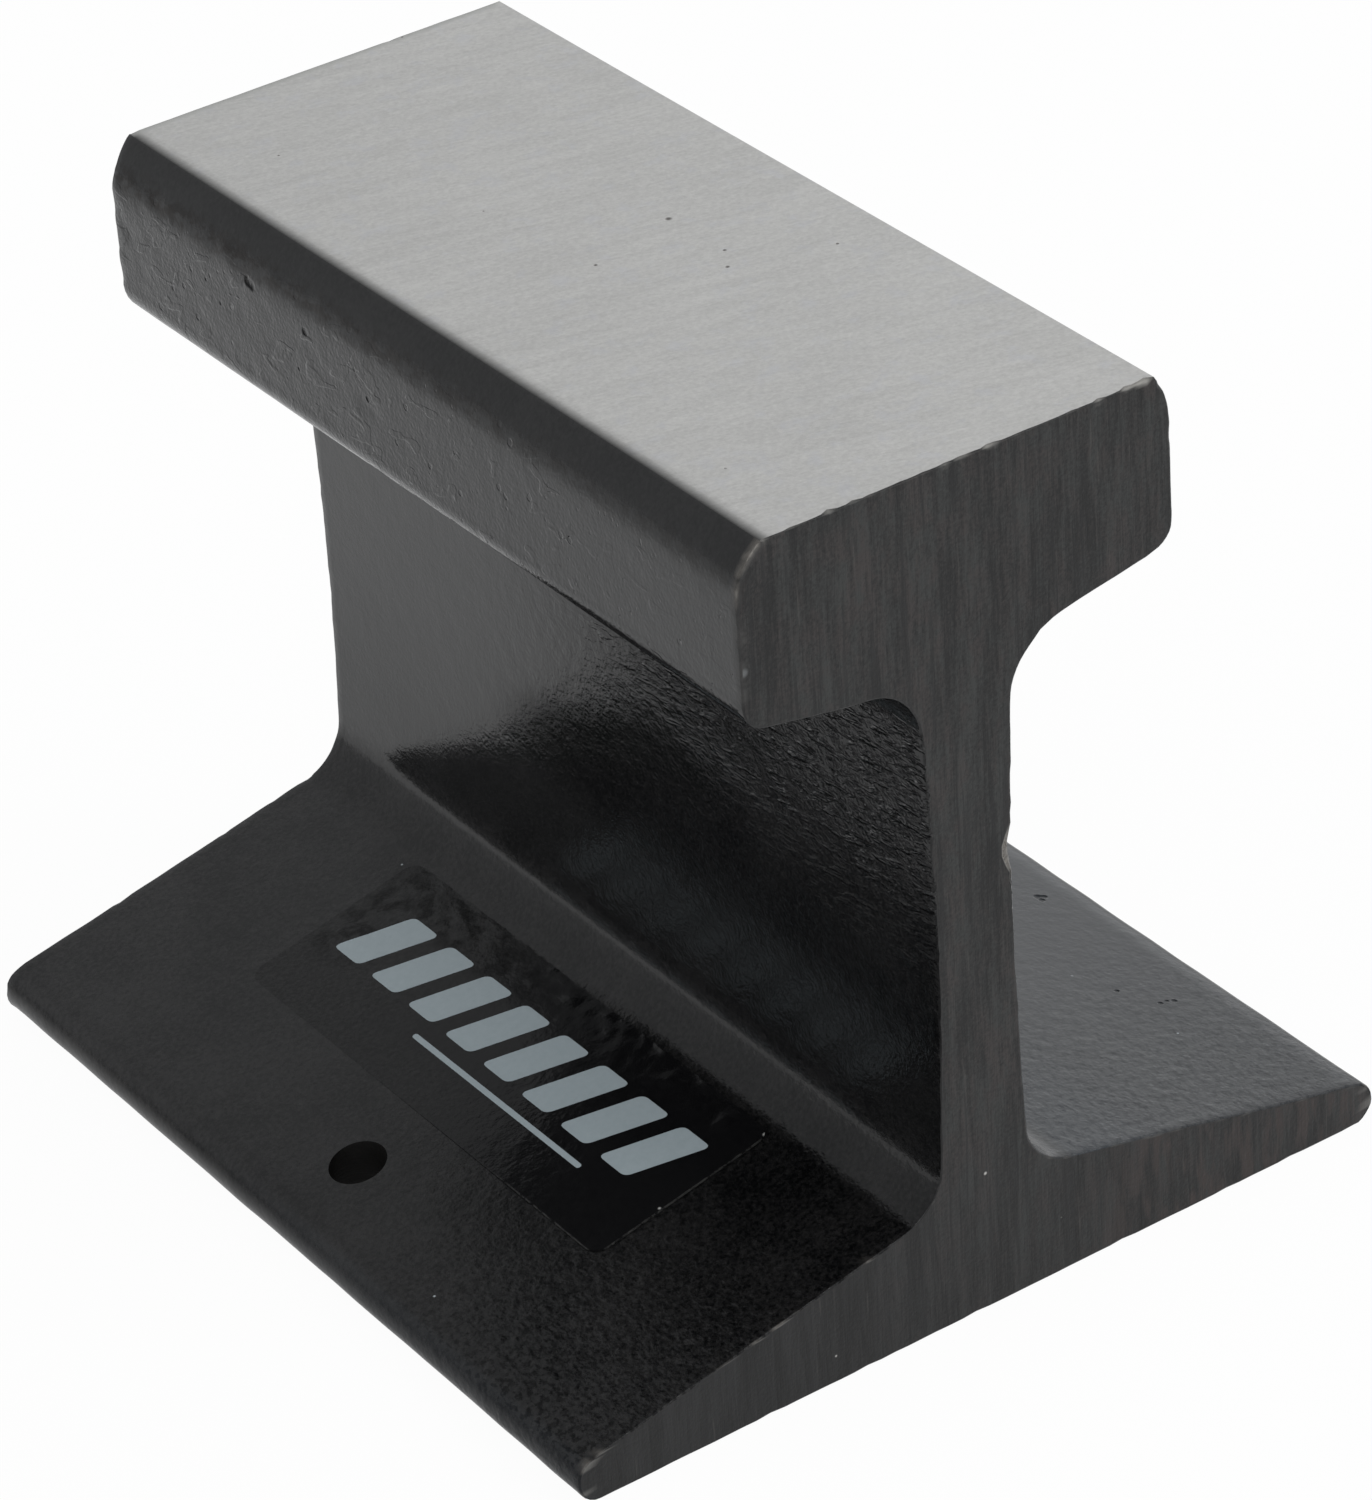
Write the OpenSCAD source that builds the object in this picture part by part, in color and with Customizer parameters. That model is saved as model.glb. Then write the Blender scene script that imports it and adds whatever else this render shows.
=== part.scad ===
// Rail anvil: a short length of hot rolled, flat-bottomed light rail. It is sawn square at
// both ends, painted black all over, and ground bare and flat on top of the head. Grinding cuts
// into the rounded upper corners of the head, which leaves a crisp edge round the working face.
// The origin is in the middle of the underside. X runs across the rail, Y runs along it.

/* [Rail] */
// Length between the sawn ends
rail_len = 69.3; // [45:0.1:150]
// Height of the rail as rolled, from the underside to the crown of the head
rolled_h = 63.5; // [56:0.1:78]
// Depth ground off the crown to make the flat working face
ground_off = 1.7; // [0.5:0.1:3]

/* [Head] */
// Width across the sides of the head
head_w = 32.1; // [26:0.1:42]
// Depth of the side of the head, from the level of the crown to the lower corner
head_side = 13.6; // [11:0.1:18]
// Slope of the underside of the head, falling towards the web, in degrees
head_slope = 10; // [6:0.5:16]
// Rounding of the lower corners of the head
lip_r = 1.8; // [0.4:0.1:3]
// Rounding of the upper corners of the head, before grinding
corner_r = 5.5; // [3.5:0.1:8]

/* [Web] */
// Thickness of the web at its thinnest
web_t = 5.9; // [4:0.1:12]
// Radius of the hollow sides of the web
web_side_r = 305; // [200:5:600]
// Fillet between the web and the head
head_fillet_r = 4.8; // [2:0.1:7]
// Fillet between the web and the foot
foot_fillet_r = 4.2; // [2:0.1:7]

/* [Foot] */
// Width of the foot
foot_w = 63.5; // [56:0.5:90]
// Thickness of the foot at its outer edges
toe_h = 3.1; // [2:0.1:6]
// Slope of the top of the foot, rising towards the web, in degrees
foot_slope = 12.4; // [8:0.1:16]
// Rounding of the outer edges of the foot
toe_r = 1.6; // [0.4:0.1:3]

/* [Fixing holes] */
// Diameter of the screw hole in each flange of the foot
hole_d = 3.9; // [2.5:0.1:6]
// Distance from the edge of the foot to the axis of its hole
hole_inset = 6.1; // [4:0.05:8]
// Distance of the holes from the middle of the rail's length, towards -Y
hole_shift = 0.95; // [0:0.05:3]

/* [Label] */
// Length of the label along the rail
label_len = 41.2; // [20:0.1:44]
// Width of the label up the slope of the foot
label_w = 14.3; // [8:0.1:16]
// Thickness of the label film
label_t = 0.1; // [0.06:0.01:0.3]
// Rounding of the corners of the label
label_r = 1.2; // [0.4:0.1:3]
// Strip of bare foot between the label and the fillet of the web
label_gap = 0.1; // [0:0.1:4]

/* [Hidden] */

// Flat steps in each rounded stretch of the outline, and sides of a drawn circle
arc_steps = 12;
round_fn = 48;
// How far a drill passes the surface that it starts or ends at
drill_past = 1;

foot_half = foot_w / 2;
head_half = head_w / 2;
rail_h = rolled_h - ground_off;
lip_z = rolled_h - head_side;
hole_x = foot_half - hole_inset;

// The edge of each sloping face, its direction up to the web, and its outward normal
toe_edge = [foot_half, toe_h];
toe_along = [-cos(foot_slope), sin(foot_slope)];
toe_out = [sin(foot_slope), cos(foot_slope)];
lip_edge = [head_half, lip_z];
lip_along = [-cos(head_slope), -sin(head_slope)];
lip_out = [sin(head_slope), -cos(head_slope)];

// Where the sloping faces would meet the middle plane of the rail, and the height half-way
foot_mid_z = toe_h + foot_half * tan(foot_slope);
lip_mid_z = lip_z - head_half * tan(head_slope);
web_centre = [web_t / 2 + web_side_r, (foot_mid_z + lip_mid_z) / 2];

// The roundings of the foot's edge share its thickness, and those of the head share its side
toe_share = 1 + (1 - sin(foot_slope)) / cos(foot_slope);
toe_round = min(toe_r, 0.98 * toe_h / toe_share);
lip_lift = (1 - sin(head_slope)) / cos(head_slope);
lip_round = min(lip_r, (head_side - corner_r) / lip_lift);

foot_fillet = fillet_centre(toe_edge, toe_along, toe_out, foot_fillet_r);
head_fillet = fillet_centre(lip_edge, lip_along, lip_out, head_fillet_r);
corner_centre = [head_half - corner_r, rolled_h - corner_r];

// Distance up the slope of the foot at which the flat ends and the fillet begins
flat_len = norm(foot_fillet - foot_fillet_r * toe_out - toe_edge);

// Direction of a vector, from 0 to 360 degrees
function heading(v) = (atan2(v[1], v[0]) + 360) % 360;

// Points along an arc round the centre c, from one direction to another
function arc(c, r, from, to) =
    [for (i = [0:arc_steps]) let (a = from + (to - from) * i / arc_steps) c + r * [cos(a), sin(a)]];

// Centre of a fillet that touches a sloping face and the hollow side of the web. The face
// starts at the point p and runs along the direction d, and n is its outward normal.
function fillet_centre(p, d, n, r) =
    let (q = p + r * n - web_centre, b = q * d)
    p + r * n + (sqrt(b * b - q * q + pow(web_side_r - r, 2)) - b) * d;

// Right half of the rail's outline, from the underside up to the ground face
right_half = concat(
    arc([foot_half - toe_round, toe_round], toe_round, -90, 0),
    arc([foot_half - toe_round, toe_h - toe_round * (toe_share - 1)], toe_round, 0, 90 - foot_slope),
    arc(foot_fillet, foot_fillet_r, 270 - foot_slope, heading(foot_fillet - web_centre)),
    arc(web_centre, web_side_r, heading(foot_fillet - web_centre), heading(head_fillet - web_centre)),
    arc(head_fillet, head_fillet_r, heading(head_fillet - web_centre), 90 + head_slope),
    arc([head_half - lip_round, lip_z + lip_round * lip_lift], lip_round, head_slope - 90, 0),
    arc(corner_centre, corner_r, 0, asin((rail_h - corner_centre[1]) / corner_r))
);

// Rolled section of the rail, with X across it and Y up
module rail_section() {
    last = len(right_half) - 1;
    left_half = [for (i = [last:-1:0]) [-right_half[i][0], right_half[i][1]]];
    polygon(concat(right_half, left_half));
}

// Rectangle with rounded corners, with its lower left corner at the origin
module rounded_rectangle(w, l, r) {
    translate([r, 0]) square([w - 2 * r, l]);
    translate([0, r]) square([w, l - 2 * r]);
    for (x = [r, w - r], y = [r, l - r])
        translate([x, y]) circle(r = r, $fn = round_fn);
}

// Length of rail with a screw hole drilled straight down through each flange
module rail() {
    color([0.16, 0.16, 0.17])
    difference() {
        rotate([90, 0, 0]) linear_extrude(height = rail_len, center = true) rail_section();
        for (side = [-1, 1])
            translate([side * hole_x, -hole_shift, -drill_past])
                cylinder(d = hole_d, h = foot_mid_z + 2 * drill_past, $fn = round_fn);
    }
}

// Adhesive label on the left flange, flat on its slope and just clear of the fillet
module label() {
    color([0.07, 0.07, 0.08])
    translate([-foot_half, 0, toe_h])
    rotate([0, -foot_slope, 0])
    translate([flat_len - label_gap - label_w, -label_len / 2, 0])
        linear_extrude(height = label_t) rounded_rectangle(label_w, label_len, label_r);
}

rail();
label();
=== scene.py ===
import math

import bpy
import numpy as np
from mathutils import Matrix, Vector, kdtree, noise


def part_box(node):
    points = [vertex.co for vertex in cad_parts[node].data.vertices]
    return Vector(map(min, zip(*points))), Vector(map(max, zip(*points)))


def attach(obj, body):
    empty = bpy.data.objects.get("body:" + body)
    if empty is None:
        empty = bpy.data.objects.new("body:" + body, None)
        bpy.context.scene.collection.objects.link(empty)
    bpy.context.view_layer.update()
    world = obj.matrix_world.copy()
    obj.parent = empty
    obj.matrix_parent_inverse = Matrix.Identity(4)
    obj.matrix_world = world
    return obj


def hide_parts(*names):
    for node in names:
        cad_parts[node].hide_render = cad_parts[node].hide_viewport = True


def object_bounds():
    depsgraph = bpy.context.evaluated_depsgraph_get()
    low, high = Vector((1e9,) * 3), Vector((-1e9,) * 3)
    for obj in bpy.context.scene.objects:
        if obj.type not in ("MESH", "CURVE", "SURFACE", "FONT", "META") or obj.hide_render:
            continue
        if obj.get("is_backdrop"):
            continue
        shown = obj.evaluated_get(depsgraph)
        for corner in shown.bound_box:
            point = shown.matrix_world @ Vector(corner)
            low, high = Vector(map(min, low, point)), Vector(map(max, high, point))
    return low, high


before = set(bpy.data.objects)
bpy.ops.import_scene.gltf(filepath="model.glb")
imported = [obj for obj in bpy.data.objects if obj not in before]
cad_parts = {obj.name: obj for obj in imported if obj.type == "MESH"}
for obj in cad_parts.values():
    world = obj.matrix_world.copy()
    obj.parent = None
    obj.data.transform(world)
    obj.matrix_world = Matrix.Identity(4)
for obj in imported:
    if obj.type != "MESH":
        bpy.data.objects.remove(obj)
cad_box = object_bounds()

# All sizes below are in millimetres, in the frame's own axes: X across the rail, Y along it, Z up.
MM = 0.001
BODY = "root"

# Rail sizes taken from the frame
rail_low, rail_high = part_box("rail")
FOOT_W = (rail_high.x - rail_low.x) / MM
RAIL_LEN = (rail_high.y - rail_low.y) / MM
RAIL_H = (rail_high.z - rail_low.z) / MM

# Rolled section, as the construction has it
GROUND_OFF = 1.7
HEAD_W = 32.1
HEAD_SIDE = 13.6
HEAD_SLOPE = math.radians(10)
HEAD_LEAN = (-0.30, 0.22)
LIP_R = 1.8
CORNER_R = 5.5
WEB_T = 5.9
WEB_SIDE_R = 305.0
HEAD_FILLET_R = 4.8
FOOT_FILLET_R = 4.2
TOE_H = 3.1
FOOT_SLOPE = math.radians(12.4)
TOE_R = 1.6
HOLE_D = 3.9
HOLE_INSET = 6.1
HOLE_SHIFT = 0.95

# Label film on the left flange
LABEL_LEN = 41.2
LABEL_W = 14.3
LABEL_R = 1.2
LABEL_T = 0.1
LABEL_GAP = 0.1

FOOT_HALF = FOOT_W / 2
HEAD_HALF = HEAD_W / 2
END_Y = RAIL_LEN / 2
ROLLED_H = RAIL_H + GROUND_OFF
LIP_Z = ROLLED_H - HEAD_SIDE


# Small tools

def smooth(a, b, x):
    """0 below a, 1 above b, and an even curve between them; a may be the larger."""
    t = min(max((x - a) / (b - a), 0.0), 1.0)
    return t * t * (3 - 2 * t)


def bumps(p, size, seed=0.0):
    """Smooth noise from -1 to 1 whose lumps are about size across, at the point p."""
    return noise.noise(Vector((p[0] / size + seed, p[1] / size + 1.7 * seed, p[2] / size - seed)))


def far_part(y):
    """0 at the rail's near end, rising to 1 at its far end."""
    return smooth(-END_Y, END_Y, y)


def heading(v):
    """Direction of a 2-D vector, from 0 to a full turn."""
    return math.atan2(v[1], v[0]) % math.tau


def unit(angle):
    """2-D vector of length 1 in a direction."""
    return np.array([math.cos(angle), math.sin(angle)])


class Grid:
    """Points in millimetres, each with its part's name, and faces, each with its slot."""

    def __init__(self):
        self.verts, self.names, self.faces, self.slots = [], [], [], []

    def add(self, p, name=""):
        self.verts.append(p)
        self.names.append(name)
        return len(self.verts) - 1

    def join(self, a, b, c, d, slot=0, flip=False):
        """Adds a face for each four points at the same place in four rows."""
        for quad in zip(a, b, c, d):
            self.faces.append(quad[::-1] if flip else quad)
            self.slots.append(slot)

    def make(self, name, materials):
        """A smooth shaded mesh object."""
        mesh = bpy.data.meshes.new(name)
        mesh.from_pydata([tuple(c * MM for c in v) for v in self.verts], [], self.faces)
        for material in materials:
            mesh.materials.append(material)
        mesh.polygons.foreach_set("material_index", self.slots)
        mesh.shade_smooth()
        mesh.update()
        obj = bpy.data.objects.new(name, mesh)
        bpy.context.scene.collection.objects.link(obj)
        return obj


# The rolled section

slopes_z = TOE_H + FOOT_HALF * math.tan(FOOT_SLOPE) + LIP_Z - HEAD_HALF * math.tan(HEAD_SLOPE)
web_centre = np.array([WEB_T / 2 + WEB_SIDE_R, slopes_z / 2])
toe_edge = np.array([FOOT_HALF, TOE_H])
toe_along = np.array([-math.cos(FOOT_SLOPE), math.sin(FOOT_SLOPE)])
toe_out = np.array([math.sin(FOOT_SLOPE), math.cos(FOOT_SLOPE)])
lip_edge = np.array([HEAD_HALF, LIP_Z])
lip_along = np.array([-math.cos(HEAD_SLOPE), -math.sin(HEAD_SLOPE)])
lip_out = np.array([math.sin(HEAD_SLOPE), -math.cos(HEAD_SLOPE)])


def fillet_centre(p, d, n, r):
    """Centre of a fillet that touches the face through p, along d, and the web's hollow side."""
    q = p + r * n - web_centre
    b = q @ d
    return p + r * n + (math.sqrt(b * b - q @ q + (WEB_SIDE_R - r) ** 2) - b) * d


foot_fillet = fillet_centre(toe_edge, toe_along, toe_out, FOOT_FILLET_R)
head_fillet = fillet_centre(lip_edge, lip_along, lip_out, HEAD_FILLET_R)
toe_lift = (1 - math.sin(FOOT_SLOPE)) / math.cos(FOOT_SLOPE)
lip_lift = (1 - math.sin(HEAD_SLOPE)) / math.cos(HEAD_SLOPE)
corner_centre = np.array([HEAD_HALF - CORNER_R, ROLLED_H - CORNER_R])
flat_len = float(np.linalg.norm(foot_fillet - FOOT_FILLET_R * toe_out - toe_edge))

# The stretches of the outline, from the underside up, with the number of steps that each has
STRETCH_STEPS = {"toe": 6, "flange": 46, "foot_fillet": 19, "web": 44, "head_fillet": 12,
                 "under": 12, "lip": 6, "side": 17, "corner": 12}


def half_outline():
    """Points, outward normals and stretch names up the right side, to the ground face."""
    points, normals, names = [], [], []

    def add(point, normal, name):
        points.append(point)
        normals.append(normal)
        names.append(name)

    def add_arc(name, centre, r, start, end, hollow=False):
        steps = STRETCH_STEPS[name]
        for i in range(1 if points else 0, steps + 1):
            out = unit(start + (end - start) * i / steps)
            add(centre + r * out, -out if hollow else out, name)

    def add_flat(name, end):
        first, normal, steps = points[-1], normals[-1], STRETCH_STEPS[name]
        for i in range(1, steps):
            add(first + (end - first) * i / steps, normal, name)

    quarter = math.pi / 2
    low, high = heading(foot_fillet - web_centre), heading(head_fillet - web_centre)
    low_toe = np.array([FOOT_HALF - TOE_R, TOE_R])
    high_toe = np.array([FOOT_HALF - TOE_R, TOE_H - TOE_R * toe_lift])
    lip_centre = np.array([HEAD_HALF - LIP_R, LIP_Z + LIP_R * lip_lift])
    top_angle = math.asin((RAIL_H - corner_centre[1]) / CORNER_R)
    add_arc("toe", low_toe, TOE_R, -quarter, 0)
    add_arc("toe", high_toe, TOE_R, 0, quarter - FOOT_SLOPE)
    add_flat("flange", foot_fillet - FOOT_FILLET_R * toe_out)
    add_arc("foot_fillet", foot_fillet, FOOT_FILLET_R, 3 * quarter - FOOT_SLOPE, low, hollow=True)
    add_arc("web", web_centre, WEB_SIDE_R, low, high, hollow=True)
    add_arc("head_fillet", head_fillet, HEAD_FILLET_R, high, quarter + HEAD_SLOPE, hollow=True)
    add_flat("under", lip_centre + LIP_R * lip_out)
    add_arc("lip", lip_centre, LIP_R, HEAD_SLOPE - quarter, 0)
    add_flat("side", corner_centre + np.array([CORNER_R, 0.0]))
    add_arc("corner", corner_centre, CORNER_R, 0, top_angle)
    return np.array(points), np.array(normals), names


outline, outline_normals, outline_names = half_outline()
FACE_HALF = outline[-1][0]

# Rings round each sawn edge, and columns of a flat face
EDGE_STEPS = 3
COLUMNS = 56

# Distance of the first whole ring from an end, the first step to the next ring, how steps grow
# towards the middle and how long they get, and the gap left there
FIRST_INWARD = 0.75
FIRST_STEP = 0.3
STEP_GROWTH = 1.25
BODY_STEP = 0.52
MIDDLE_GAP = 0.2


def stations():
    """(distance inward from the end, turn round the edge) for each ring, from an end inward."""
    rings = [(None, m / EDGE_STEPS * math.pi / 2) for m in range(EDGE_STEPS + 1)]
    inward, step = FIRST_INWARD, FIRST_STEP
    while inward < END_Y - MIDDLE_GAP:
        rings.append((inward, None))
        inward += step
        step = min(step * STEP_GROWTH, BODY_STEP)
    return rings


# Heights of a knocked place on the web's right edge at the near end, of the rusty seam along
# the head, and of a hollow and a ridge in the head's left side
KNOCK_Z = 33.5
SEAM_Z = 59.3
HOLLOW_Z = 58.6
RIDGE_Z = 60.5

# How far the left edge of the ground face is rolled down
ROLL_DROP = 0.05


def rubbed(x):
    """Noise along the near edge of the ground face, high where it is rubbed."""
    return bumps((x, 0, 0), 1.1, 3.0)


def edge_radius(x, z, near, on_top):
    """Rounding of a sawn end's edge at (x, z)."""
    place = (x, 40.0 if near else -40.0, z)
    r = 0.13 + 0.06 * bumps(place, 2.3, 3.1) + 0.14 * smooth(0.25, 0.60, bumps(place, 1.0, 7.7))
    if near and on_top:
        r += 0.26 * smooth(0.05, 0.45, rubbed(x))
        r += 0.12 * max(0.0, bumps((x, 0, 0), 0.45, 19.0))
        r += 0.34 * smooth(FACE_HALF - 2.4, FACE_HALF, x) ** 2
    if near and x < -FACE_HALF:
        r += 0.20 * smooth(57.0, 58.6, z)
    if near and 0 < x < WEB_T:
        r += 0.5 * smooth(1.9, 0.5, abs(z - KNOCK_Z))
    return min(max(r, 0.06), 0.70)


def saw_marks(x, z, near):
    """Depth of the saw's vertical scratches on a sawn end, from 0 inward."""
    seed = 11.0 if near else 23.0
    across = x + 0.015 * z
    h = 0.024 * noise.noise(Vector((across / 1.6, z / 60, seed)))
    h += 0.018 * noise.noise(Vector((across / 0.8, z / 40, seed + 5)))
    h += 0.03 * noise.noise(Vector((across / 9, z / 25, seed + 9)))
    return min(h - 0.03, 0.0)


def lean(side, p, name):
    """How far the rolled skin sits above or below the drawing."""
    if name in ("toe", "flange") and side > 0:
        return -0.14 * smooth(10.0, 24.0, p[0]) * smooth(0.5, 2.0, p[2])
    if name not in ("head_fillet", "under", "lip"):
        return 0.0
    out = smooth(4.5, 9.0, abs(p[0])) * (1 - smooth(LIP_Z, LIP_Z + 2.5, p[2]))
    return HEAD_LEAN[1 if side > 0 else 0] * out


def face_lean(side, p, name):
    """How far the ground face's edge sits outward of the drawing."""
    if name != "corner":
        return 0.0
    near = 1 - far_part(p[1])
    widest = 0.08 + 0.24 * near if side > 0 else -0.08 - 0.38 * near
    return widest * smooth(RAIL_H - 3.2, RAIL_H, p[2])


def rolled_edge(x, y):
    """1 at the left edge of the ground face, which is rolled over, and 0 away from it."""
    left = -FACE_HALF - face_lean(-1, (0.0, y, RAIL_H), "corner")
    return 1 - smooth(-0.10, 0.95, x - left)


def fillet_groove(p):
    """Depth of a faint groove along the upper end of the foot's fillet."""
    from_web = FOOT_FILLET_R * math.atan2(foot_fillet[1] - p[2], foot_fillet[0] - abs(p[0]))
    return 0.036 * math.exp(-((from_web - 1.35) / 0.5) ** 2)


def head_relief(h, p, lumps):
    """The height h with what the head adds: lumps, ragged bands of skin, and uneven corners."""
    x, y, z = p
    far = far_part(y)
    level = smooth(RAIL_H - 0.3, RAIL_H - 2.2, z)
    h += (0.004 + 0.009 * far) * lumps * level
    h -= 0.05 * far * level * smooth(0.35, 0.60, bumps(p, 1.5, 31.0))
    ragged = smooth(57.6, 58.4, z) * smooth(60.6, 59.6, z)
    h += (0.022 + 0.040 * far) * ragged * (bumps(p, 1.5, 41.0) + 0.6 * bumps(p, 0.75, 43.0))
    if x >= 0:
        return h - 0.10 * (1 - far)
    h += 0.11 * far ** 2 * (1 - smooth(58.7, 60.4, z))
    h += 0.13 * (1 - far) * (1 - smooth(0.0, 1.5, abs(z - RIDGE_Z)))
    return h - 0.045 * (1 - far) * (1 - smooth(0.0, 1.1, abs(z - HOLLOW_Z)))


def skin_relief(p, name):
    """Height of the rolled skin's unevenness at the point p."""
    x, y, z = p
    h = 0.022 * noise.noise(Vector((x / 7, y / 26, z / 7)))
    lumps = bumps((x, y / 1.6, z - 0.3 * y), 2.2, 4.0)
    lumps += 0.7 * bumps((x, y / 1.4, z - 0.3 * y), 1.15, 8.0)
    if name in ("side", "lip", "corner"):
        return head_relief(h, p, lumps)
    if name == "toe":
        return h + (0.05 * bumps(p, 4.0, 2.0) - 0.08)
    if name == "foot_fillet":
        return h + (0.005 * lumps - fillet_groove(p))
    return h + 0.005 * lumps


def burr(side, end, z):
    """Paint and burr that stand proud along a sawn edge."""
    return 0.10 * max(0.0, bumps((side * 9.0, 30.0 * end, z), 1.5, 14.0))


def inside(p):
    """The point p, held within the rail's own box."""
    limits = ((-FOOT_HALF, FOOT_HALF), (-END_Y, END_Y), (0.0, RAIL_H))
    return tuple(min(max(c, low), high) for c, (low, high) in zip(p, limits))


def ring_place(end, inward, turn, r):
    """(Y, how far the section has drawn in) on a ring."""
    if turn is None:
        return end * (END_Y - inward), 0.0
    return end * (END_Y - r * (1 - math.cos(turn))), r * (1 - math.sin(turn))


def saw_shift(end, turn, x, z):
    """How far the saw's scratches move a ring's point along Y."""
    end_share = 0.0 if turn is None else 1 - math.sin(turn)
    return end * end_share * saw_marks(x, z, end < 0)


# The rail's materials: painted skin, ground face, sawn ends and edges, and holes
SKIN_SLOT, GROUND_SLOT, SAWN_SLOT, HOLE_SLOT = range(4)


def side_points(grid, rings):
    """Adds the points of both sides, in a row for each ring and side."""
    rows = {}
    for k, (end, inward, turn) in enumerate(rings):
        for side in (-1, 1):
            rows[k, side] = []
            for (x, z), (nx, nz), name in zip(outline, outline_normals, outline_names):
                y, drawn = ring_place(end, inward, turn, edge_radius(side * x, z, end < 0, False))
                h = skin_relief((side * x, y, z), name)
                if turn is not None:
                    h += burr(side, end, z)
                h *= (1 - smooth(RAIL_H - 0.5, RAIL_H, z)) * smooth(0.0, 0.4, z)
                y += saw_shift(end, turn, side * x, z)
                lift = lean(side, (x, y, z), name)
                outward = x + nx * (h - drawn) + face_lean(side, (x, y, z), name)
                if side < 0 and z == outline[-1][1]:
                    lift -= ROLL_DROP
                place = (side * outward, y, z + nz * (h - drawn) + lift)
                rows[k, side].append(grid.add(inside(place), name))
    return rows


def flat_points(grid, rings, sides):
    """Adds the points of the ground face and the underside, in a row for each ring and face."""
    rows = {}
    for k, (end, inward, turn) in enumerate(rings):
        for top in (True, False):
            i, level = (-1, RAIL_H) if top else (0, 0.0)
            name = "top" if top else "underside"
            first, last = sides[k, -1][i], sides[k, 1][i]
            left, right = grid.verts[first][0], grid.verts[last][0]
            row = [first]
            for j in range(1, COLUMNS):
                share = j / COLUMNS
                if top:
                    share *= 1 - 0.9 * math.exp(-10 * share)
                x = left + (right - left) * share
                y, drawn = ring_place(end, inward, turn, edge_radius(x, level, end < 0, top))
                y += saw_shift(end, turn, x, level)
                z = RAIL_H - drawn - ROLL_DROP * rolled_edge(x, y) if top else drawn
                row.append(grid.add((x, y, z), name))
            rows[k, top] = row + [last]
    return rows


def cap_points(grid, k, end, sides, flats):
    """Adds the points of a sawn end inside its ring k, in a row for each place in the outline."""
    rows = [flats[k, False]]
    for first, last in list(zip(sides[k, -1], sides[k, 1]))[1:-1]:
        a, b = np.array(grid.verts[first]), np.array(grid.verts[last])
        row = [first]
        for j in range(1, COLUMNS):
            p = a + (b - a) * j / COLUMNS
            y = end * (END_Y + saw_marks(p[0], p[2], end < 0))
            row.append(grid.add((p[0], y, p[2]), "cap"))
        rows.append(row + [last])
    return rows + [flats[k, True]]


def build_rail():
    """The rail as a closed grid: two sides, the ground face, the underside and two sawn ends."""
    half = stations()
    rings = [(-1, inward, turn) for inward, turn in half]
    rings += [(1, inward, turn) for inward, turn in reversed(half)]
    last = len(rings) - 1
    grid = Grid()
    sides = side_points(grid, rings)
    flats = flat_points(grid, rings, sides)
    caps = [(end, cap_points(grid, k, end, sides, flats)) for k, end in ((0, -1), (last, 1))]
    for k in range(last):
        for side in (-1, 1):
            row, after = sides[k, side], sides[k + 1, side]
            grid.join(row, after, after[1:], row[1:], SKIN_SLOT, side < 0)
        on_rim = rings[k][2] is not None and rings[k + 1][2] is not None
        for top in (True, False):
            slot = SKIN_SLOT if not top else SAWN_SLOT if on_rim else GROUND_SLOT
            row, after = flats[k, top], flats[k + 1, top]
            grid.join(row, row[1:], after[1:], after, slot, not top)
    for end, rows in caps:
        for row, after in zip(rows, rows[1:]):
            grid.join(row, row[1:], after[1:], after, SAWN_SLOT, end > 0)
    return grid


# Materials

RANGE_SOCKETS = ("From Min", "From Max", "To Min", "To Max")


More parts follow.
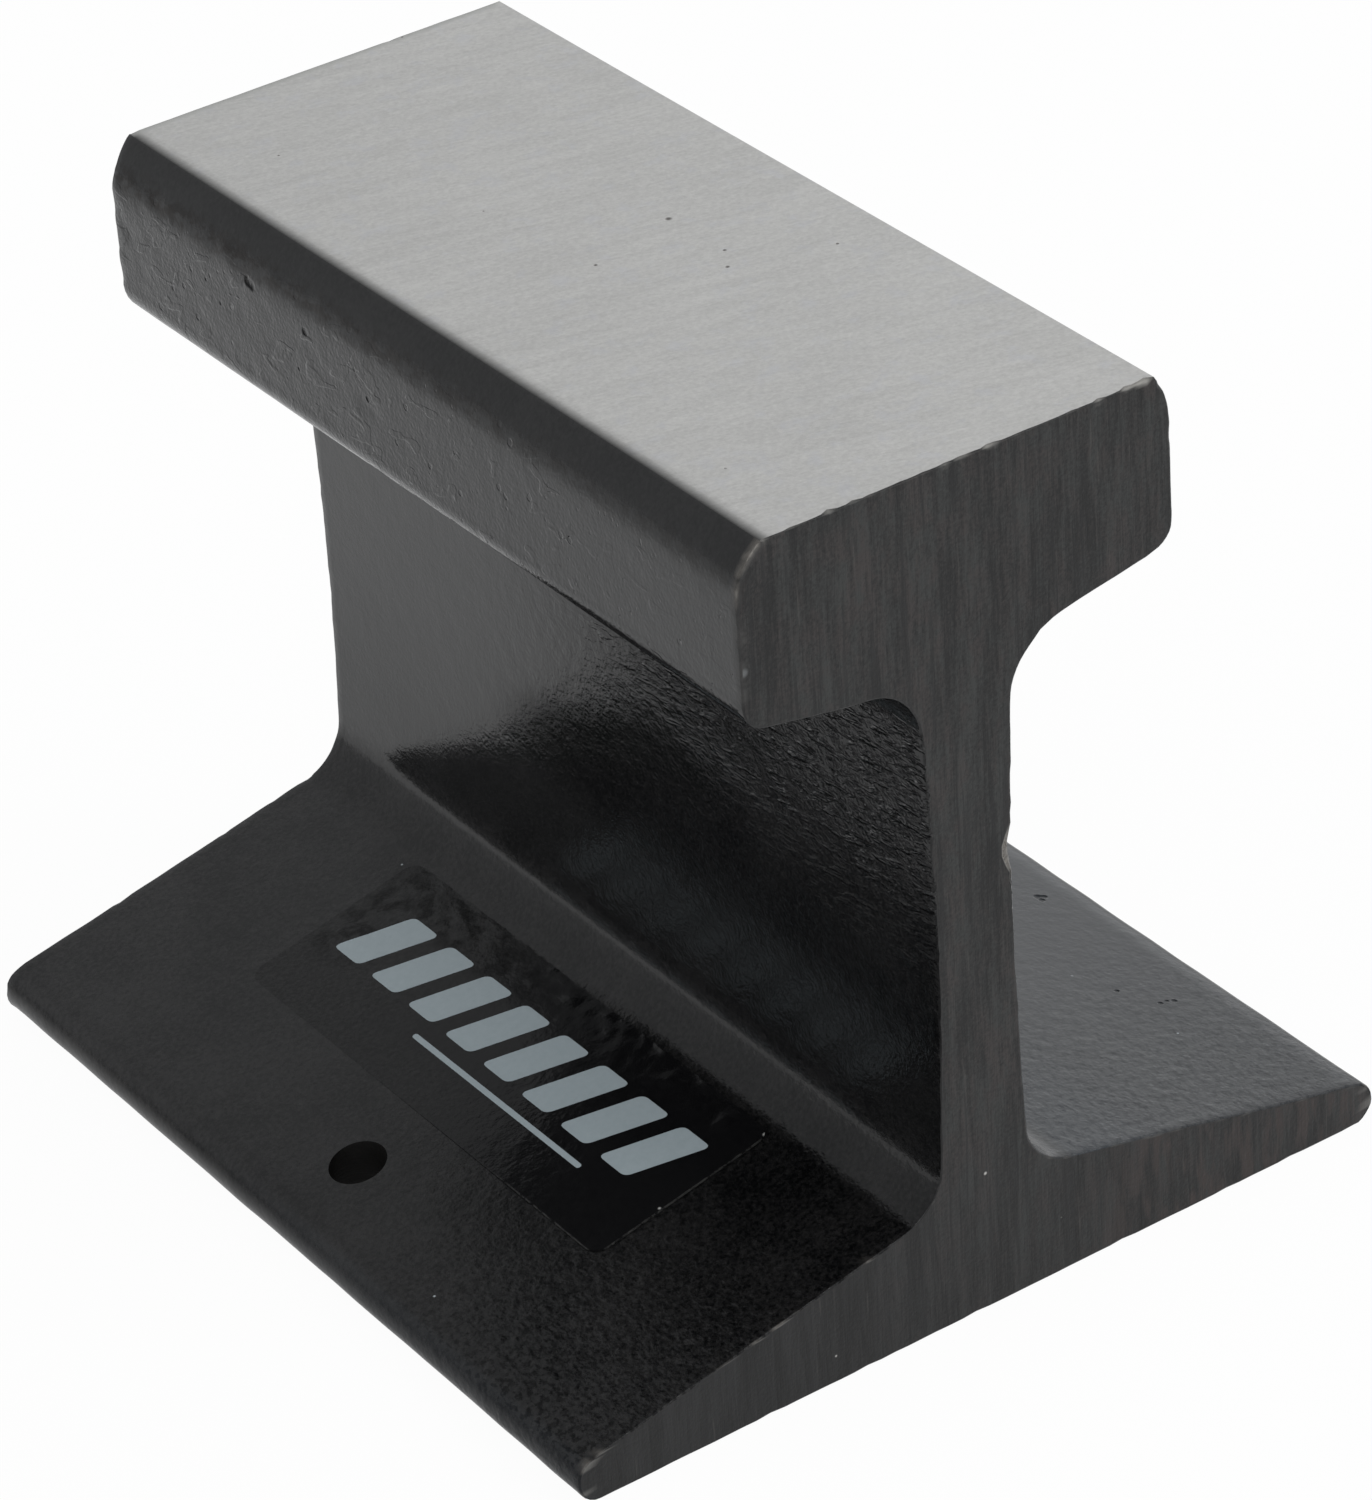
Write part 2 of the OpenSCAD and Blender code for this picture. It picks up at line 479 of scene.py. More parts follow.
class Nodes:
    """Short calls to build the node tree of a material or of the world."""

    def __init__(self, owner, output):
        owner.use_nodes = True
        self.owner = owner
        self.tree = owner.node_tree
        self.tree.nodes.clear()
        self.output = self.add(output)
        self.place = self.add("ShaderNodeTexCoord")

    def add(self, kind, **settings):
        node = self.tree.nodes.new(kind)
        for key, value in settings.items():
            setattr(node, key, value)
        return node

    def link(self, a, out, b, into):
        self.tree.links.new(a.outputs[out], b.inputs[into])

    def feed(self, source, node, socket):
        """Sets a socket from a number, a colour, an output, or a node and its output's name."""
        if isinstance(source, (int, float)):
            node.inputs[socket].default_value = source
        elif isinstance(source, tuple):
            node.inputs[socket].default_value = (*source, 1.0)
        elif isinstance(source, list):
            self.link(*source, node, socket)
        else:
            self.tree.links.new(source, node.inputs[socket])

    def set(self, socket, source):
        self.feed(source, self.shader, socket)

    def coords(self, scale=(1, 1, 1), turn=(0, 0, 0)):
        """Object coordinates in millimetres, turned and then scaled."""
        turned = self.add("ShaderNodeMapping", vector_type="TEXTURE")
        turned.inputs["Rotation"].default_value = turn
        self.link(self.place, "Object", turned, "Vector")
        scaled = self.add("ShaderNodeMapping")
        scaled.inputs["Scale"].default_value = tuple(s / MM for s in scale)
        self.link(turned, "Vector", scaled, "Vector")
        return scaled.outputs["Vector"]

    def noise(self, size, detail=2.0, rough=0.5, stretch=(1, 1, 1), turn=(0, 0, 0), distortion=0.0):
        """Noise whose lumps are about size millimetres across, longer where stretch is larger."""
        node = self.add("ShaderNodeTexNoise")
        self.feed(self.coords(tuple(1 / s for s in stretch), turn), node, "Vector")
        node.inputs["Scale"].default_value = 1 / size
        node.inputs["Detail"].default_value = detail
        node.inputs["Roughness"].default_value = rough
        node.inputs["Distortion"].default_value = distortion
        return node.outputs["Fac"]

    def cells(self, size):
        """Distance, in cells, to the nearest point of a scatter about size millimetres apart."""
        node = self.add("ShaderNodeTexVoronoi")
        self.feed(self.coords(), node, "Vector")
        node.inputs["Scale"].default_value = 1 / size
        return node.outputs["Distance"]

    def math(self, operation, a, b=0.0, clamp=False):
        node = self.add("ShaderNodeMath", operation=operation, use_clamp=clamp)
        self.feed(a, node, 0)
        self.feed(b, node, 1)
        return node.outputs[0]

    def times(self, a, b):
        return self.math("MULTIPLY", a, b)

    def span(self, value, from_low, from_high, to_low=0.0, to_high=1.0, kind="LINEAR"):
        """value carried from one range to another, and held at its ends."""
        node = self.add("ShaderNodeMapRange", clamp=True, interpolation_type=kind)
        self.feed(value, node, "Value")
        for socket, number in zip(RANGE_SOCKETS, (from_low, from_high, to_low, to_high)):
            self.feed(number, node, socket)
        return node.outputs["Result"]

    def mix(self, share, a, b):
        """Colour between a and b."""
        node = self.add("ShaderNodeMix", data_type="RGBA")
        self.feed(share, node, 0)
        self.feed(a, node, 6)
        self.feed(b, node, 7)
        return node.outputs[2]

    def blend(self, share, a, b):
        """Number between a and b."""
        node = self.add("ShaderNodeMix", data_type="FLOAT")
        self.feed(share, node, 0)
        self.feed(a, node, 2)
        self.feed(b, node, 3)
        return node.outputs[0]

    def mask(self, name):
        """A share from 0 to 1 that is kept on the mesh's own points."""
        return self.add("ShaderNodeAttribute", attribute_name=name).outputs["Fac"]

    def compare(self, operation, output, vector):
        """Distance or dot product of a vector and one of the coordinates."""
        node = self.add("ShaderNodeVectorMath", operation=operation)
        self.link(self.place, output, node, 0)
        node.inputs[1].default_value = vector
        return node.outputs["Value"]

    def near(self, place_mm, radius):
        """1 at a place, falling to 0 at radius millimetres from it."""
        away = self.compare("DISTANCE", "Object", tuple(c * MM for c in place_mm))
        return self.span(away, 0.2 * radius * MM, radius * MM, 1.0, 0.0, "SMOOTHSTEP")

    def bump(self, height):
        """Bumps whose height is given in millimetres."""
        node = self.add("ShaderNodeBump")
        node.inputs["Distance"].default_value = MM
        self.feed(height, node, "Height")
        self.link(node, "Normal", self.shader, "Normal")


def new_material(name):
    """Nodes of a new material, with its shader."""
    n = Nodes(bpy.data.materials.new(name), "ShaderNodeOutputMaterial")
    n.shader = n.add("ShaderNodeBsdfPrincipled")
    n.link(n.shader, "BSDF", n.output, "Surface")
    return n


def total(n, *terms):
    """Sum of values, where a term may also be a pair of a value and what it is multiplied by."""
    result = 0.0
    for term in terms:
        value = n.times(*term) if isinstance(term, tuple) else term
        result = n.math("ADD", value, result)
    return result


# Height of a noise with lumps one millimetre across, whose sides lean by one radian
GRAIN_RISE = 1.9


def grain(n, size, slope, detail=2.0, **shape):
    """Height of noise about size millimetres across, whose sides lean by about slope radians."""
    return n.times(n.noise(size, detail, 0.55, **shape), GRAIN_RISE * size * slope)


def specks(n, spacing, radius, share):
    """1 on a few round specks: radius in millimetres, and the share of all places that have one."""
    dots = n.span(n.cells(spacing), 0.7 * radius / spacing, radius / spacing, 1.0, 0.0)
    chosen = n.span(n.noise(1.7 * spacing, 0.0), 0.72 - 0.4 * share, 0.74 - 0.4 * share)
    return n.times(dots, chosen)


def spots(n, places):
    """1 at each (place, radius), falling to 0 at its radius."""
    result = 0.0
    for place, radius in places:
        result = n.math("ADD", n.near(place, radius), result)
    return result


# Dents of the right flange and of the left side of the head, with their radius
DENTS = [
    ((27.60, -4.55, 3.88), 0.42),
    ((28.00, -4.70, 3.82), 0.34),
    ((27.55, -5.05, 3.94), 0.34),
    ((23.9, -17.8, 4.7), 0.25),
    ((25.5, -20.4, 4.3), 0.27),
    ((26.1, -20.3, 4.2), 0.22),
    ((26.6, -20.5, 4.1), 0.28),
]
HEAD_LEFT = -16.05
DENTS += [((HEAD_LEFT, y, z), r) for y, z, r in (
    (18.1, 58.15, 0.52), (17.6, 58.05, 0.52), (11.5, 57.2, 0.42), (4.6, 55.3, 0.30),
    (21.8, 55.1, 0.22), (23.4, 56.2, 0.22), (12.7, 54.1, 0.20))]

# Specks of dust on the paint, on the label and on the sawn end, and a pale smear on that end,
# at the head's left edge
DUST = [
    ((-29.2, -15.2, 3.66), 0.13),
    ((-15.42, -12.95, 60.53), 0.11),
    ((-7.2, 21.3, 8.5), 0.12),
    ((23.9, -24.2, 4.7), 0.12),
]
FILM_DUST = [
    ((-15.2, -20.4, 6.8), 0.16),
    ((-6.8, -20.4, 8.7), 0.24),
]
END_DUST = [
    ((0.0, -34.65, 10.4), 0.17),
    ((-7.2, -34.60, 8.50), 0.14),
    ((-12.1, -34.65, 2.0), 0.13),
]
CORNER_SMEAR = ((-15.80, -34.62, 53.6), 0.38)

# The rolled skin's streaks run along the rail and fall a little towards its near end
SKIN_TURN = (math.radians(-18), 0, 0)
WEB_TURN = (math.radians(-7), 0, 0)
CURLED_PATCH = (-3.1, -2.2, 43.6)


def web_wrinkles(n):
    """Height of the web's wrinkles: long ridges that stand apart on a smooth ground."""
    long = n.noise(0.46, stretch=(1, 4.5, 1), turn=WEB_TURN, distortion=0.25)
    short = n.noise(0.36, stretch=(1, 2.2, 1), turn=WEB_TURN, distortion=0.3)
    curled = n.noise(0.42, 1.0, 0.5, distortion=2.2)
    patch = n.times(n.span(curled, 0.50, 0.60), n.near(CURLED_PATCH, 1.7))
    long, short = n.span(long, 0.52, 0.68), n.span(short, 0.58, 0.72)
    return total(n, (long, 0.120), (short, 0.055), (patch, 0.10))


def side_skin(n):
    """Height of the head's rolled side: a fine grain, soft lumps, and small pits and flakes."""
    lumps = grain(n, 1.1, 0.024)
    grit = grain(n, 0.26, 0.062, detail=4.0)
    scale = n.noise(1.5, stretch=(1, 2.0, 1), turn=SKIN_TURN, distortion=0.5)
    flakes = n.times(n.span(scale, 0.60, 0.63), 0.028)
    pits = n.times(specks(n, 1.7, 0.30, 0.45), -0.075)
    small = n.times(specks(n, 0.8, 0.14, 0.5), -0.035)
    return total(n, lumps, grit, flakes, pits, small)


def matt_share(n, wrinkles):
    """How matt the paint is: between the web's wrinkles, in the foot's crevices, on dull places."""
    grit = n.mask("grit")
    wrinkled = n.span(grit, 0.0, 1.0)
    between = n.span(wrinkles, 0.020, 0.075, 0.75, 0.0)
    smooth_web = n.times(n.times(wrinkled, between), n.span(grit, 1.0, 1.5, 1.0, 0.35))
    cracks = n.span(n.noise(0.38, 3.0, 0.6, stretch=(1, 1.5, 1)), 0.42, 0.51, 1.0, 0.0)
    crevices = n.times(n.mask("crevices"), cracks)
    return n.math("MAXIMUM", n.math("MAXIMUM", smooth_web, crevices), n.mask("dull"))


def paint_height(n, wrinkles):
    """Height of the painted skin: fine orange peel, with what each part of the rail adds to it."""
    peel = total(n, grain(n, 0.26, 0.024), grain(n, 1.5, 0.006))
    cloudy = total(n, grain(n, 0.24, 0.050, detail=3.0), grain(n, 1.1, 0.026))
    creased = grain(n, 0.36, 0.028, detail=4.0, stretch=(1, 1.5, 1))
    leather = total(n, creased, grain(n, 0.95, 0.028))
    return total(n, peel, (leather, n.mask("leather")), (wrinkles, n.mask("grit")),
                 (cloudy, n.mask("cloudy")), (side_skin(n), n.mask("head_side")),
                 (spots(n, DENTS), -0.08))


# How strongly the paint shines: where it is plain, glossy, matt, and in a dent
PLAIN_IOR, GLOSSY_IOR, MATT_IOR, DENT_IOR = 1.40, 1.56, 1.17, 1.20


def paint_material():
    """Black gloss paint over the rolled skin, worn through to steel along a few edges."""
    n = new_material("black_paint")
    bare = n.mask("bare")
    wrinkles = web_wrinkles(n)
    n.bump(paint_height(n, wrinkles))
    shade = n.noise(7.0, 3.0, 0.6)
    mottle = total(n, (n.noise(0.32, 3.0, 0.65), 0.65), (shade, 0.35))
    spread = n.span(mottle, 0.38, 0.62)
    clean = n.mix(spread, (0.0020, 0.0021, 0.0024), (0.0078, 0.0078, 0.0080))
    dusty = n.mix(n.span(mottle, 0.42, 0.60), (0.0004, 0.0006, 0.0008), (0.0190, 0.0180, 0.0182))
    paint = n.mix(n.mask("dust"), clean, dusty)
    # Painted sheen: lighter bluish paint as a painted reflection of the bright studio on the right
    # flange and the foot's left edge
    painted_sheen = n.mix(spread, (0.0185, 0.0224, 0.0278), (0.0255, 0.0290, 0.0340))
    paint = n.mix(n.mask("painted_sheen"), paint, painted_sheen)
    stains = n.span(n.noise(0.7, 3.0, 0.65, stretch=(1, 1.6, 1)), 0.45, 0.55)
    rusty = n.times(n.mask("rust"), stains)
    paint = n.mix(rusty, paint, (0.0098, 0.0062, 0.0040))
    chips = n.times(specks(n, 1.1, 0.10, 0.15), n.mask("chips"))
    paint = n.mix(chips, paint, (0.30, 0.30, 0.29))
    paint = n.mix(specks(n, 4.5, 0.12, 0.30), paint, (0.16, 0.17, 0.18))
    paint = n.mix(spots(n, DUST), paint, (0.42, 0.46, 0.48))
    steel = n.mix(n.noise(0.4), (0.10, 0.092, 0.084), (0.32, 0.300, 0.275))
    steel = n.mix(n.mask("polish"), steel, (0.62, 0.61, 0.59))
    n.set("Base Color", n.mix(bare, paint, steel))
    n.set("Metallic", bare)
    on_side, on_foot = n.span(shade, 0.3, 0.7, 0.11, 0.16), n.span(shade, 0.3, 0.7, 0.20, 0.26)
    n.set("Roughness", n.blend(bare, n.blend(n.mask("foot_top"), on_side, on_foot), 0.45))
    gloss = n.blend(n.mask("gloss"), PLAIN_IOR, GLOSSY_IOR)
    matt = n.math("MAXIMUM", matt_share(n, wrinkles), n.times(rusty, 0.55))
    gloss = n.blend(matt, gloss, MATT_IOR)
    dented = n.math("MULTIPLY", spots(n, DENTS), 2.0, clamp=True)
    n.set("IOR", n.blend(dented, gloss, DENT_IOR))
    return n.owner


def hole_material():
    """Thin dull paint down the wall of a drilled hole, with the drill's rings."""
    n = new_material("hole_paint")
    rings = n.noise(0.12, stretch=(30, 30, 1))
    n.bump(n.times(rings, 0.02))
    n.set("Base Color", n.mix(n.noise(0.6, 3.0), (0.002, 0.002, 0.002), (0.008, 0.007, 0.006)))
    n.set("Roughness", n.span(rings, 0.3, 0.7, 0.50, 0.65))
    n.set("IOR", 1.30)
    return n.owner


def sawn_material():
    """Thinner, duller paint over the soft vertical scratches of the saw, with painted shade low on
    the foot.
    """
    n = new_material("sawn_paint")
    bare = n.mask("bare")
    fine = n.noise(0.17, 3.0, 0.65, stretch=(1, 1, 14))
    mid = n.noise(0.50, 2.0, 0.55, stretch=(1, 1, 12), distortion=0.2)
    wide = n.noise(1.4, stretch=(1, 1, 9), distortion=0.2)
    speckle = n.noise(0.24, 3.0, 0.7)
    n.bump(total(n, (fine, 0.018), (mid, 0.034), (wide, 0.060), (speckle, 0.028)))
    tone = total(n, (wide, 0.30), (mid, 0.15), (fine, 0.22), (speckle, 0.33))
    tint = n.noise(1.1, 3.0, 0.65, stretch=(1, 1, 2))
    light = n.mix(n.span(tint, 0.42, 0.60), (0.0240, 0.0254, 0.0246), (0.0287, 0.0240, 0.0229))
    # Painted shade: the end's paint is darker towards the bottom and the left of the foot
    light = n.mix(n.mask("painted_foot_shade"), light, (0.0095, 0.0095, 0.0100))
    dark = n.mix(n.mask("painted_foot_shade"), (0.0020, 0.0020, 0.0022), (0.0004, 0.0004, 0.0005))
    paint = n.mix(n.span(tone, 0.43, 0.570), dark, light)
    cut = n.span(n.noise(0.55, stretch=(1, 1, 26)), 0.37, 0.41, 1.0, 0.0)
    paint = n.mix(n.times(cut, 0.65), paint, (0.0045, 0.0045, 0.0050))
    stains = n.span(n.noise(0.8, 3.0, 0.6, stretch=(1, 1, 5)), 0.47, 0.62)
    paint = n.mix(n.times(n.mask("rust"), stains), paint, (0.0285, 0.0210, 0.0193))
    paint = n.mix(specks(n, 3.4, 0.10, 0.40), paint, (0.16, 0.16, 0.15))
    paint = n.mix(spots(n, END_DUST), paint, (0.45, 0.44, 0.42))
    paint = n.mix(n.near(*CORNER_SMEAR), paint, (0.088, 0.092, 0.096))
    scratch = n.span(n.noise(0.35, stretch=(1, 1, 22)), 0.67, 0.72)
    paint = n.mix(n.times(scratch, 0.20), paint, (0.09, 0.083, 0.076))
    n.set("Base Color", n.mix(bare, paint, (0.34, 0.33, 0.31)))
    n.set("Metallic", bare)
    n.set("Roughness", n.blend(bare, n.span(speckle, 0.3, 0.7, 0.34, 0.48), 0.62))
    n.set("IOR", 1.42)
    return n.owner


# Pits of the ground face, with their radius
FACE_PITS = [
    ((4.9, 1.3, 61.8), 0.30),
    ((5.1, -4.45, 61.8), 0.18),
    ((3.95, -6.35, 61.8), 0.20),
    ((-2.05, -0.7, 61.8), 0.18),
]


def ground_material():
    """Bare steel ground with a belt: short soft streaks, a fine grain and a few pits."""
    n = new_material("ground_steel")
    turn = (0, 0, math.radians(-11))
    fine = n.noise(0.15, 3.0, 0.65, stretch=(6, 1, 1), turn=turn)
    wide = n.noise(0.9, 3.0, 0.6, stretch=(7, 1, 1), turn=turn, distortion=0.4)
    cloud = n.noise(5.0, 3.0, 0.55, stretch=(2, 1, 1), turn=turn)
    speckle = n.noise(0.26, 3.0, 0.7, stretch=(1.4, 1, 1), turn=turn)
    pits = n.math("MAXIMUM", specks(n, 2.6, 0.13, 0.30), spots(n, FACE_PITS))
    n.bump(total(n, (fine, 0.008), (wide, 0.020), (speckle, 0.010), (pits, -0.05)))
    tone = total(n, (wide, 0.24), (cloud, 0.10), (fine, 0.16), (speckle, 0.50))
    steel = n.mix(n.span(tone, 0.39, 0.61), (0.525, 0.518, 0.503), (0.638, 0.630, 0.611))
    tint = n.noise(1.6, 3.0, 0.6)
    steel = n.mix(n.span(tint, 0.55, 0.70, 0.0, 0.35), steel, (0.56, 0.565, 0.60))
    # Painted shade: the steel is darkened along the left edge of the ground face, where it rolls
    # over
    steel = n.mix(n.times(n.mask("painted_edge_shade"), 0.9), steel, (0.02, 0.02, 0.02))
    steel = n.mix(n.mask("far_edge"), steel, (0.42, 0.42, 0.40))
    n.set("Base Color", n.mix(pits, steel, (0.16, 0.15, 0.14)))
    n.set("Metallic", 1.0)
    n.set("Roughness", n.span(fine, 0.3, 0.7, 0.40, 0.52))
    return n.owner


def film_material():
    """Gloss black adhesive film, dull and patchy at its far end, with dust along its edge."""
    n = new_material("label_film")
    dull = n.mask("dull")
    edge = n.times(n.mask("edge"), n.span(n.noise(0.7, 3.0, 0.75), 0.38, 0.56))
    lifted = n.span(n.noise(2.3, 3.0, 0.55, distortion=0.5), 0.42, 0.51)
    n.bump(total(n, grain(n, 3.0, 0.006), grain(n, 0.40, 0.016), (grain(n, 0.34, 0.03), dull)))
    black = n.mix(n.noise(0.5, 3.0, 0.65), (0.0026, 0.0026, 0.0032), (0.0075, 0.0075, 0.0080))
    mottle = n.span(n.noise(0.32, 3.0, 0.65), 0.42, 0.60)
    black = n.mix(dull, black, n.mix(mottle, (0.0004, 0.0005, 0.0006), (0.0110, 0.0106, 0.0107)))
    black = n.mix(spots(n, FILM_DUST), black, (0.50, 0.50, 0.48))
    n.set("Base Color", n.mix(edge, black, (0.042, 0.042, 0.040)))
    smooth_part = n.span(n.noise(2.0, 3.0), 0.3, 0.7, 0.10, 0.15)
    n.set("Roughness", n.blend(edge, n.blend(dull, smooth_part, 0.22), 0.6))
    n.set("IOR", n.blend(n.times(n.mask("patch"), lifted), n.blend(dull, 1.38, 1.42), 1.28))
    return n.owner


def ink_material():
    """Light blue-grey ink, a little thin in places."""
    n = new_material("label_ink")
    n.set("Base Color", n.mix(n.noise(0.5, 4.0, 0.7), (0.36, 0.43, 0.46), (0.46, 0.53, 0.56)))
    n.set("Roughness", n.span(n.noise(0.8, 3.0), 0.3, 0.7, 0.32, 0.45))
    n.bump(grain(n, 0.25, 0.01))
    return n.owner


def floor_material():
    """White floor that keeps a soft shadow. What shines sees it fade towards the back left."""
    n = Nodes(bpy.data.materials.new("floor_white"), "ShaderNodeOutputMaterial")
    diffuse, glow = n.add("ShaderNodeBsdfDiffuse"), n.add("ShaderNodeEmission")
    n.feed((0.9, 0.9, 0.9), diffuse, "Color")
    n.feed((1.0, 1.0, 1.0), glow, "Color")
    rays = n.add("ShaderNodeLightPath")
    glossy = [rays, "Is Glossy Ray"]
    back_left = n.compare("DOT_PRODUCT", "Object", (-0.7, 0.7, 0.0))
    fade = n.span(back_left, 0.14, 0.22, 0.0, 1.0 - DIM_SIDE)
    n.feed(n.math("SUBTRACT", 1.0, n.times(fade, glossy)), glow, "Strength")
    direct = n.math("MAXIMUM", [rays, "Is Camera Ray"], [rays, "Is Transmission Ray"])
    both = n.add("ShaderNodeMixShader")
    n.feed(total(n, (direct, SEEN_FLOOR), (glossy, MIRRORED_FLOOR)), both, 0)
    n.link(diffuse, "BSDF", both, 1)
    n.link(glow, "Emission", both, 2)
    n.link(both, "Shader", n.output, "Surface")
    return n.owner


# The rail

HOLE_X = FOOT_HALF - HOLE_INSET
HOLE_R = HOLE_D / 2
HOLE_LEVELS = (-1.0, 2.0, 10.0)
HOLE_TURNS = 56

# Edges that turn by more than this are sharp
RAIL_SHARP, LABEL_SHARP = math.radians(40), math.radians(50)


def make_cutter(side):
    """A round bar through the screw hole of one flange."""
    grid = Grid()
    rings = []
    for z in HOLE_LEVELS:
        ring = []
        for t in range(HOLE_TURNS):
            a = math.tau * t / HOLE_TURNS
            x, y = side * HOLE_X + HOLE_R * math.cos(a), HOLE_R * math.sin(a) - HOLE_SHIFT
            ring.append(grid.add((x, y, z)))
        rings.append(ring + ring[:1])
    for ring, after in zip(rings, rings[1:]):
        grid.join(ring, ring[1:], after[1:], after)
    for lid in (rings[0][-2::-1], rings[-1][:-1]):
        grid.faces.append(tuple(lid))
        grid.slots.append(0)
    return grid.make("cutter", [])


def drill(obj):
    """Cuts the screw hole of each flange, and gives its wall a material of its own."""
    for side in (-1, 1):
        cutter = make_cutter(side)
        cut = obj.modifiers.new("hole", "BOOLEAN")
        cut.object = cutter
        cut.operation = "DIFFERENCE"
        cut.solver = "EXACT"
        depsgraph = bpy.context.evaluated_depsgraph_get()
        mesh = bpy.data.meshes.new_from_object(obj.evaluated_get(depsgraph))
        obj.modifiers.clear()
        obj.data = mesh
        bpy.data.objects.remove(cutter)
    for face in obj.data.polygons:
        x, y, z = face.center / MM
        away = math.hypot(abs(x) - HOLE_X, y + HOLE_SHIFT)
        if away < HOLE_R and abs(face.normal.z) < 0.5:
            face.material_index = HOLE_SLOT


def set_mask(mesh, name, values):
    attribute = mesh.attributes.new(name, "FLOAT", "POINT")
    attribute.data.foreach_set("value", values)


# Shares from 0 to 1, at the point p of a stretch of the outline

FOOT = ("flange", "toe", "foot_fillet")
HOLLOW = ("web", "head_fillet", "under")


def near_rim(y, low, high):
    """0 up to low from the near end and 1 from high on, where low may be the larger."""
    return smooth(-END_Y + low, -END_Y + high, y)


def bare_share(p, name):
    """How far the paint is worn off the steel at p."""
    x, y, z = p
    if name == "corner" and x < 0:
        worn = smooth(RAIL_H - 4.4, RAIL_H - 2.2, z)
        width = 0.42 + 0.34 * smooth(RAIL_H - 2.4, RAIL_H - 0.4, z)
        wide_rim = smooth(width, width - 0.25, y + END_Y) * smooth(0.02, 0.12, y + END_Y)
        return 0.85 * wide_rim * worn * smooth(-0.7, 0.2, bumps(p, 0.7, 5.0))
    if name == "top":
        worn = smooth(FACE_HALF - 2.2, FACE_HALF - 1.2, x + 0.5 * bumps(p, 0.8, 6.0))
        worn = max(worn, 0.9 * smooth(0.05, 0.35, rubbed(x)))
        return worn * near_rim(y + 0.1 * bumps(p, 0.5, 7.0), 0.02, 0.2)
    if name == "web" and x > 0:
        return 0.8 * near_rim(y, 0.6, 0.3) * smooth(2.0, 1.2, abs(z - KNOCK_Z))
    if name in ("foot_fillet", "flange"):
        patchy = smooth(0.12, 0.42, bumps(p, 0.8, 20.0))
        return (0.45 if x < 0 else 0.15) * near_rim(y, 0.16, 0.04) * patchy
    if name == "side" and x < 0:
        return 0.08 * near_rim(y, 0.30, 0.08) * smooth(-0.3, 0.3, bumps(p, 1.2, 5.5))
    if name == "toe":
        return 0.4 * near_rim(y, 0.30, 0.08) * smooth(0.15, 0.4, bumps(p, 0.7, 20.0))
    return 0.0


def grit_share(p, name):
    """Strength of the wrinkles: most on the web, up under the head and towards the near end."""
    x, y, z = p
    if name not in HOLLOW:
        return 0.0
    near = 1 - smooth(-30.0, 18.0, y)
    high = smooth(32.0 - 8.0 * near, 43.0 - 7.0 * near, z + 1.5 * bumps((0, y, z), 5.0, 51.0))
    part = 1.0 + 0.55 * smooth(-8.0, -24.0, y) if name == "web" else 0.15
    return part * smooth(0.0, 0.8, near) * high


def toe_turn(p):
    """How far round the foot's rounded edge p lies, from 0 at the slope to 1 at the side."""
    angle = math.atan2(p[2] - TOE_H + TOE_R * toe_lift, abs(p[0]) - FOOT_HALF + TOE_R)
    return 1 - min(max(angle / (math.pi / 2 - FOOT_SLOPE), 0.0), 1.0)


def gloss_share(p, name):
    """Strength of the paint's gloss."""
    x, y, z = p
    far = far_part(y)
    if name in HOLLOW:
        wrinkled = 0.5 * smooth(-8.0, -20.0, y) * smooth(30.0, 35.0, z)
        return max(wrinkled, smooth(-6.0, 20.0, y) * (0.9 - 0.3 * smooth(30.0, 14.0, z)))
    if name == "lip":
        return 0.10
    if name == "side":
        return 0.62 + 0.25 * far ** 2
    if name == "corner":
        return 0.85
    if x > 0:
        return 0.65 + 0.25 * far
    turn = toe_turn(p) if name == "toe" else 0.0
    return 0.10 + 0.45 * far + 0.30 * smooth(0.0, 0.25, turn) * smooth(0.75, 0.40, turn)


def leather_share(p, name):
    """Strength of the foot's leathery grain."""
    x, y, z = p
    if name not in FOOT:
        return 0.0
    near = 1 - smooth(-30.0, -6.0, y)
    share = 0.60 + 0.80 * near if x > 0 else 0.45 + 1.1 * near
    return 0.7 * share if name == "foot_fillet" else share


def crevice_share(p, name):
    """Strength of the dark crevices in the foot's leathery grain."""
    if name not in ("flange", "toe"):
        return 0.0
    near = 1 - smooth(-32.0, -2.0, p[1])
    return (0.35 if p[0] > 0 else 0.7) * near


def dull_share(p, name):
    """How dull the paint is on the foot's edges and low on the web's left side."""
    x, y, z = p
    if name == "toe" and x > 0:
        return 0.9 * smooth(0.0, 0.3, toe_turn(p))
    if name == "toe" and x < 0:
        turn = toe_turn(p)
        bright_rim = 0.8 * smooth(-14.0, 8.0, y) * smooth(0.75, 0.95, turn)
        return 0.6 * smooth(0.42, 0.66, turn) * (1 - bright_rim)
    if name in ("web", "foot_fillet") and x < 0:
        top = 32.5 - 0.36 * max(0.0, y + 4.0)
        return 0.95 * smooth(16.0, 6.0, y) * smooth(18.5, 23.0, z) * smooth(top, top - 3.5, z)
    return 0.0


def painted_sheen_share(p, name):
    """Strength of the painted sheen, a painted reflection of the bright studio, on the right flange
    and along the foot's left edge.
    """
    x, y, z = p
    if name == "toe" and x < 0:
        return 0.30 * smooth(0.10, 0.40, toe_turn(p)) * smooth(12.0, -10.0, y)
    if name not in FOOT or x < 0:
        return 0.0
    share = 0.50 + 0.40 * far_part(y) + 0.7 * smooth(17.0, 6.0, x)
    if name == "foot_fillet":
        return 0.15 * share
    return min(share, 1.0) * (1 - 0.6 * smooth(0.0, 0.4, toe_turn(p)) if name == "toe" else 1.0)


